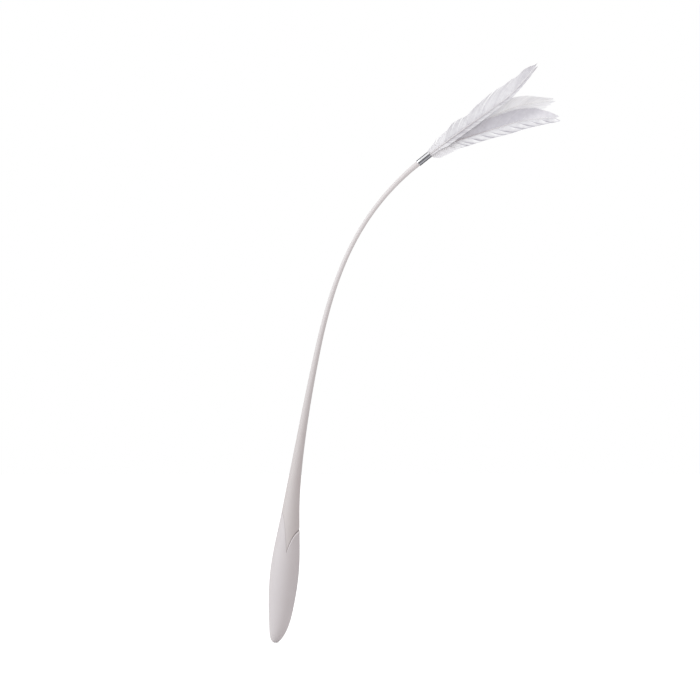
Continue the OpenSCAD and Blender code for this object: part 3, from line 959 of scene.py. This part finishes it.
def barb_spot(feather, side, s, out, reach, manner):
    """The point at a share out along the barb that is rooted at s."""
    share = s / feather.length
    lean = feather.line.lean(s)
    angle = slant(share, manner)
    way = math.cos(angle) * ahead(lean) + side * math.sin(angle) * aside(lean)
    hollow = side * math.cos(angle) * aside(lean) - math.sin(angle) * ahead(lean)
    root = feather.point(s) + (feather.radius(s) + vane_fit) / math.sin(angle) * way
    bow = manner["bow"] * reach * 4 * out * (1 - out)
    curl = min(1, camber_at_foot + share)
    lift = -manner["camber"] * reach * math.sin(angle) * out ** manner["camber_power"] * curl
    return root + reach * out * way + bow * hollow + Vector((0, lift, 0))


print("barb plan ready")

# %% [markdown]
# Locks divide the vane. A few deep splits sit where the photograph shows them, and between these the locks
# have uneven lengths from a seeded draw, so every run gives the same feather. Past a split the barbs start
# short and grow again, and those on both sides of it lean apart, so that light comes through. Light also
# catches each barb in its own way, which a noise over the whole vane would smear, so every vertex is given
# a tone: barbs near each other share it in bundles. Painted shade darkens it in the furrow where a lock
# starts, at the root beside the shaft and at the very edge, and a painted highlight brightens it where a
# lock ends.

# %% Locks and vanes
furrow_shade_run = 0.13
highlight_run = 0.2
furrow_shade_rise = 0.5
lock_tone_share = 0.35
bundle_keep = 0.75
tip_tone_from = 0.68
tip_tone_run = 0.16
root_shade_run = 0.002
rim_shade_run = 0.0005
lock_spread = (0.7, 1.3)
slit_spread = (0.4, 1)
recovery_share = 0.3
fewest_barbs = 3
shift_power = 1.5
short_step = 0.02
tip_thinning = 0.8
blade_tilt = 0.25


def locks_of(first, last, manner, length, draw):
    """Rows of start, end, slit depth, recovery, tone, and how far the lock's start and end lean away."""
    deep = [(place * length, depth, apart) for place, depth, apart in manner["splits"]]
    usual_recovery = recovery_share * manner["lock"]
    rows, start, depth, parted, recovery = [], first, manner["slit"], 0, usual_recovery
    while start < last - weld:
        grown = 1 + manner["lock_growth"] * (start / length - 0.5)
        end = min(last, start + manner["lock"] * grown * draw.uniform(*lock_spread))
        split = next((row for row in deep if start < row[0] <= end), None)
        end = split[0] if split else end
        parting_next = split[2] if split else 0
        rows.append((start, end, depth, recovery, draw.uniform(-1, 1), parted, parting_next))
        start, parted = end, parting_next
        depth = split[1] if split else manner["slit"] * draw.uniform(*slit_spread)
        recovery = manner["recovery"] if split else usual_recovery
    return rows


def lay_barb(bm, tone_of, feather, side, s, shift, reach, width, pleat, tone, manner):
    """Adds one bent copy of the blade. Its outer end moves by shift; tone is (root's tone, painted furrow
    shade growing outwards, less its painted highlight).
    """
    bm.from_mesh(blade)
    bm.verts.ensure_lookup_table()
    stations = {}
    for vert, spot in zip(bm.verts[-len(blade_spots):], blade_spots):
        out = spot.z
        if out not in stations:
            drawn = s + shift * out ** shift_power
            here = barb_spot(feather, side, drawn, out, reach, manner)
            step = barb_spot(feather, side, drawn, out + short_step, reach, manner) - here
            flat = step.cross(Vector((0, 1, 0))).normalized() * side
            thin = width * (1 - tip_thinning * ease((out - manner["taper"]) / (1 - manner["taper"])))
            stations[out] = here + Vector((0, pleat * out, 0)), flat, thin
        here, flat, thin = stations[out]
        raised = spot.y * manner["thick"] - spot.x * thin * blade_tilt
        vert.co = here + flat * spot.x * thin + Vector((0, raised, 0))
        # Painted shade in the furrow, at the root beside the shaft and at the rim; the furrow term also
        # carries the painted highlight.
        vert[tone_of] = (tone[0] - tone[1] * ease(out / furrow_shade_rise)
                         - manner["root_shade"] * math.exp(-out * reach / root_shade_run)
                         - manner["rim_shade"] * math.exp((out - 1) * reach / rim_shade_run))


def vane(feather, side, first, last, widest, edge, manner, seed):
    """A bmesh of all the barbs on one side of a feather."""
    draw = random.Random(seed)
    bm = bmesh.new()
    tone_of = bm.verts.layers.float.new("tone")
    bundle_tone = 0
    for start, end, depth, recovery, lock_tone, parted, parting_next in locks_of(
            first, last, manner, feather.length, draw):
        count = max(fewest_barbs, round((end - start) / manner["spacing"]))
        for i in range(count):
            share = i / count
            s = between(start, end, share)
            angle = slant(s / feather.length, manner)
            cut = 1 - depth * (1 - ease((s - start) / recovery)) + draw.uniform(-1, 1) * manner["fray"]
            reach = tip_out(feather, s, angle, widest, edge) / math.sin(angle) * cut
            width = manner["spacing"] * math.sin(angle) * manner["cover"]
            shift = (0.5 - share) * (end - start) * manner["gather"]
            shift -= parting_next * math.exp((s - end) / manner["apart_run"])
            shift += parted * math.exp((start - s) / manner["apart_run"])
            pleat = manner["pleat"] * (share - 0.5) + draw.uniform(-1, 1) * manner["loose"]
            bundle_tone = bundle_keep * bundle_tone + draw.uniform(-1, 1)
            tone = manner["tone"] + manner["streak"] * (lock_tone_share * lock_tone + bundle_tone)
            tone += manner["tip_tone"] * ease((s / feather.length - tip_tone_from) / tip_tone_run)
            # Painted light that lifts the shadow near a vane's foot.
            tone += manner["foot_painted_light"] * (1 - ease(s / feather.length / manner["foot_light_to"]))
            # Painted shade in the furrow where a lock starts, and a painted highlight where it ends.
            furrow_shade = manner["furrow_shade"] * math.exp(-share / furrow_shade_run) if start > first else 0
            furrow_shade -= manner["lock_end_highlight"] * math.exp((share - 1) / highlight_run)
            lay_barb(bm, tone_of, feather, side, s, shift, reach, width, pleat, (tone, furrow_shade), manner)
    return bm


print("vane helpers ready")

# %% [markdown]
# Feathers are nearly white, and their form shows only by fine streaks and by shade. The finish takes its
# tone from each barb's own attribute, with a faint mottle, and a soft sheen like that of keratin; that tone
# carries painted shade and painted highlight too. The lower feather's left vane turns its underside to us,
# and its finish is painted greyer with a cool purple cast, as painted shade. Its right vane has white locks
# with deep furrows, and its finish spans the most for the painted shade in them. The middle feather's
# finish is paler, as painted light that lifts the shadow of the upper feather.

# %% Feather finishes
tone_share = 0.75
mottle_size = 0.004
mottle_share = 0.5
darkening = 0.12


def barbs(name, pale, dark, sheen):
    material = finish(name)
    tone = material.node("ShaderNodeAttribute", {"attribute_name": "tone"}, output="Fac")
    mottle = material.noise(mottle_size, material.place(), detail=3.0)
    shade = (tone * tone_share + mottle * mottle_share - darkening).clamped()
    return material.surface({"Base Color": material.mixed(shade, (*dark, 1), (*pale, 1)),
                             "Roughness": 0.55 + mottle * 0.15, "Specular IOR Level": 0.3,
                             "Sheen Weight": sheen, "Sheen Roughness": 0.4})


white_barbs = barbs("white_barbs", pale=(0.92, 0.92, 0.93), dark=(0.56, 0.54, 0.58), sheen=0.12)
# A paler copy for the middle feather, as painted light that lifts the upper feather's shadow.
painted_light_barbs = barbs("painted_light_barbs", pale=(0.975, 0.975, 0.985), dark=(0.77, 0.77, 0.785), sheen=0.30)
# A wide span, for the painted shade in the lower feather's furrows.
furrow_shaded_barbs = barbs("furrow_shaded_barbs", pale=(0.985, 0.985, 0.99), dark=(0.42, 0.40, 0.46), sheen=0.20)
# A greyer copy for the lower feather's left vane, as painted shade on its underside.
shaded_barbs = barbs("shaded_barbs", pale=(0.94, 0.93, 0.955), dark=(0.58, 0.565, 0.61), sheen=0.05)
down_barbs = barbs("down_barbs", pale=(0.92, 0.915, 0.93), dark=(0.72, 0.705, 0.735), sheen=0.20)
for made in (white_barbs, painted_light_barbs, furrow_shaded_barbs, shaded_barbs, down_barbs):
    print("feather finish:", made.name)

# %% [markdown]
# Each vane has its own edge and manner. The edge is a table of (share of the length, share of the widest
# reach). The manner says how its locks part, how its barbs slant, bow and lie, and how their tones run; a
# split is (share of the length, depth, how far its sides lean apart). The upper feather is streaked and
# split along its left edge, the middle one is loose at its tip, the lower one has a smooth left vane and a
# right vane that has fallen into many separate locks. A plan is (feather, side, widest reach, edge, finish,
# slot, manner), with -1 for the left side and 1 for the right.

# %% Vane plans
plain_manner = {
    "spacing": 0.00026, "lock": 0.006, "lock_growth": 0, "slit": 0.05, "splits": [], "recovery": 0.010,
    "gather": 0.08, "apart_run": 0.002, "pleat": 0.0002, "loose": 0.00003, "fray": 0.008,
    "slant": (50, 18), "bow": 0.065, "camber": 0.06, "camber_power": 2.0,
    "thick": 0.00006, "cover": 0.85, "taper": 0.88,
    "tone": 0.5, "streak": 0.25, "furrow_shade": 0, "lock_end_highlight": 0, "tip_tone": 0, "foot_painted_light": 0, "foot_light_to": 0.07,
    "root_shade": 0, "rim_shade": 0}
upper_left_edge = [
    (0, 0.24), (0.06, 0.4), (0.13, 0.66), (0.16, 0.58), (0.2, 0.62), (0.25, 0.79), (0.3, 0.79), (0.38, 0.64),
    (0.44, 0.79), (0.56, 0.94), (0.65, 1), (0.7, 0.9), (0.8, 0.9), (0.88, 0.74), (0.94, 0.42), (0.98, 0.14),
    (1.02, 0.05)]
upper_right_edge = [
    (0, 0.3), (0.1, 0.7), (0.18, 1.3), (0.26, 1.35), (0.35, 1.1), (0.5, 0.8), (0.7, 0.72), (0.9, 0.52),
    (1, 0.2), (1.03, 0)]
middle_left_edge = [
    (0, 0.2), (0.12, 0.7), (0.4, 0.95), (0.66, 1), (0.74, 0.93), (0.82, 0.8), (0.93, 0.36), (0.985, 0.15),
    (1, 0)]
middle_right_edge = [(0, 0.3), (0.12, 0.75), (0.4, 0.95), (0.8, 1), (0.91, 0.8), (0.96, 0.45), (1, 0.1)]
lower_left_edge = [
    (0, 0.15), (0.08, 0.42), (0.2, 0.75), (0.4, 0.97), (0.7, 1), (0.85, 0.8), (0.93, 0.48), (0.98, 0.22),
    (1.01, 0)]
lower_right_edge = [
    (0, 0.7), (0.05, 0.95), (0.11, 0.95), (0.2, 0.85), (0.35, 0.8), (0.5, 0.8), (0.62, 0.92), (0.72, 0.9),
    (0.85, 0.72), (0.95, 0.5), (1, 0.34), (1.02, 0)]
vane_plans = [
    (upper, -1, 0.0128, upper_left_edge, white_barbs, "feather_vane_white",
     {"splits": [(0.18, 0.04, 0.0005), (0.235, 0.06, 0.0005), (0.43, 0.04, 0.0022), (0.6, 0.02, 0.0004)],
      "slit": 0.03, "gather": 0.04, "slant": (50, 13), "tone": 0.5, "streak": 0.11, "root_shade": 0.3,
      "tip_tone": -0.4}),
    # Painted shade beside the shaft and at the edge of this narrow vane.
    (upper, 1, 0.0038, upper_right_edge, white_barbs, "feather_vane_white",
     {"camber": 0.15, "camber_power": 1.5, "tone": 0.6, "root_shade": 0.9, "rim_shade": 0.4}),
    # Middle feather: paler finish and tone, as painted light in the upper feather's shadow.
    (middle, -1, 0.0080, middle_left_edge, painted_light_barbs, "feather_vane_white",
     {"slant": (50, 15), "tone": 0.8, "tip_tone": -0.3, "streak": 0.22}),
    (middle, 1, 0.0095, middle_right_edge, painted_light_barbs, "feather_vane_white",
     {"splits": [(0.8, 0.12, 0.0006), (0.88, 0.15, 0.0005)], "slant": (50, 15), "tone": 0.8, "tip_tone": -0.3,
      "streak": 0.22, "root_shade": 0.3}),
    # Lower feather's left vane: dark tone as painted shade; near its foot, painted light lifts the shadow.
    (lower, -1, 0.0108, lower_left_edge, shaded_barbs, "feather_vane_grey",
     {"slit": 0.02, "gather": 0.0, "pleat": 0.0, "camber": 0.26, "camber_power": 1.7, "fray": 0.004,
      "tone": 0.08, "streak": 0.03, "tip_tone": 0.6, "foot_painted_light": 1.0, "foot_light_to": 0.42, "root_shade": 0.25}),
    # Painted shade in the furrows and at the rim, and a painted highlight at each lock's end.
    (lower, 1, 0.0094, lower_right_edge, furrow_shaded_barbs, "feather_vane_white",
     {"slit": 0.01, "gather": 0.04, "pleat": 0.001, "lock": 0.0095, "lock_growth": 1, "camber": 0.02,
      "slant": (40, 24), "bow": 0.05, "fray": 0.004, "tone": 0.82, "streak": 0.05, "furrow_shade": 1.2,
      "lock_end_highlight": 0.6, "root_shade": 0.3, "rim_shade": 0.7}),
]
print("vanes planned:", len(vane_plans))

# %% [markdown]
# The vanes are now laid, barb by barb, from the end of the down to near the shaft's tip. Each vane has a
# seed of its own, so that a change to one leaves the others as they are.

# %% Vanes
vane_first = 0.0179
vane_seed = 10
side_names = {-1: "left", 1: "right"}
dressed = []
for number, (feather, side, widest, edge, material, slot, changes) in enumerate(vane_plans):
    last = feather.length * shaft_reach_share
    manner = {**plain_manner, **changes}
    barbs_bm = vane(feather, side, vane_first, last, widest, edge, manner, vane_seed + number)
    side_name = side_names[side]
    piece = piece_from(barbs_bm, f"{feather.name}_{side_name}_barbs", material, slot, sharp=50)
    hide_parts(f"{feather.name}_{side_name}_vane")
    dressed.append((feather, piece))

# %% [markdown]
# At its foot a feather is loose down: soft barbs that do not hook together. They are laid by the same plan
# and along the same edges, as finer and closer blades in short locks with deeper slits and a little more
# fray. The first ones start inside the ferrule's mouth and lean out of it, and the last ones meet the vane.

# %% Down
down_last = 0.01775
down_seed = 40
# The down also takes painted shade beside its shaft.
down_manner = {
    **plain_manner, "spacing": 0.00024, "lock": 0.0035, "slit": 0.06, "gather": 0.04, "pleat": 0.0001,
    "loose": 0.00001, "fray": 0.01, "thick": 0.00004, "taper": 0.85, "streak": 0.05, "tone": 0.62,
    "root_shade": 0.3}
narrow_lie = (-0.0024, {"slant": (50, 13)})
wide_lie = (-0.0018, {"slant": (50, 8)})
upper_splits = [(0.048, 0.2, 0.0006)]
for number, feather in enumerate((upper, middle, lower)):
    down_bm = bmesh.new()
    for place, (_, side, widest, edge, _, _, _) in enumerate(vane_plans[2 * number:2 * number + 2]):
        down_first, lie = wide_lie if feather is lower and side > 0 else narrow_lie
        manner = {**down_manner, **lie, "splits": upper_splits if feather is upper else []}
        seed = down_seed + 2 * number + place
        tuft = vane(feather, side, down_first, down_last, widest, edge, manner, seed)
        tuft_mesh = mesh_from(tuft, "tuft")
        down_bm.from_mesh(tuft_mesh)
        bpy.data.meshes.remove(tuft_mesh)
    piece = piece_from(down_bm, feather.name + "_down_tuft", down_barbs, "feather_down", sharp=50)
    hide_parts(feather.name + "_down")
    dressed.append((feather, piece))

# %% [markdown]
# A feather bends at its foot when it sways. Its pieces follow the ferrule at the mouth and the swaying body
# further out, with a smooth turn between, so that no quill tears out of the glue.

# %% The feathers' sway
sway_run = 0.04
for feather in (upper, middle, lower):
    piece = shafts[feather.name]
    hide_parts(feather.name + "_shaft")
    dressed.append((feather, piece))
sway_end = mouth + sway_run * ahead(math.radians(tip_lean))
for feather, piece in dressed:
    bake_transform(piece, "tip", feather.name + "_feather", start=mouth, end=sway_end)
print("blended pieces:", len(dressed))
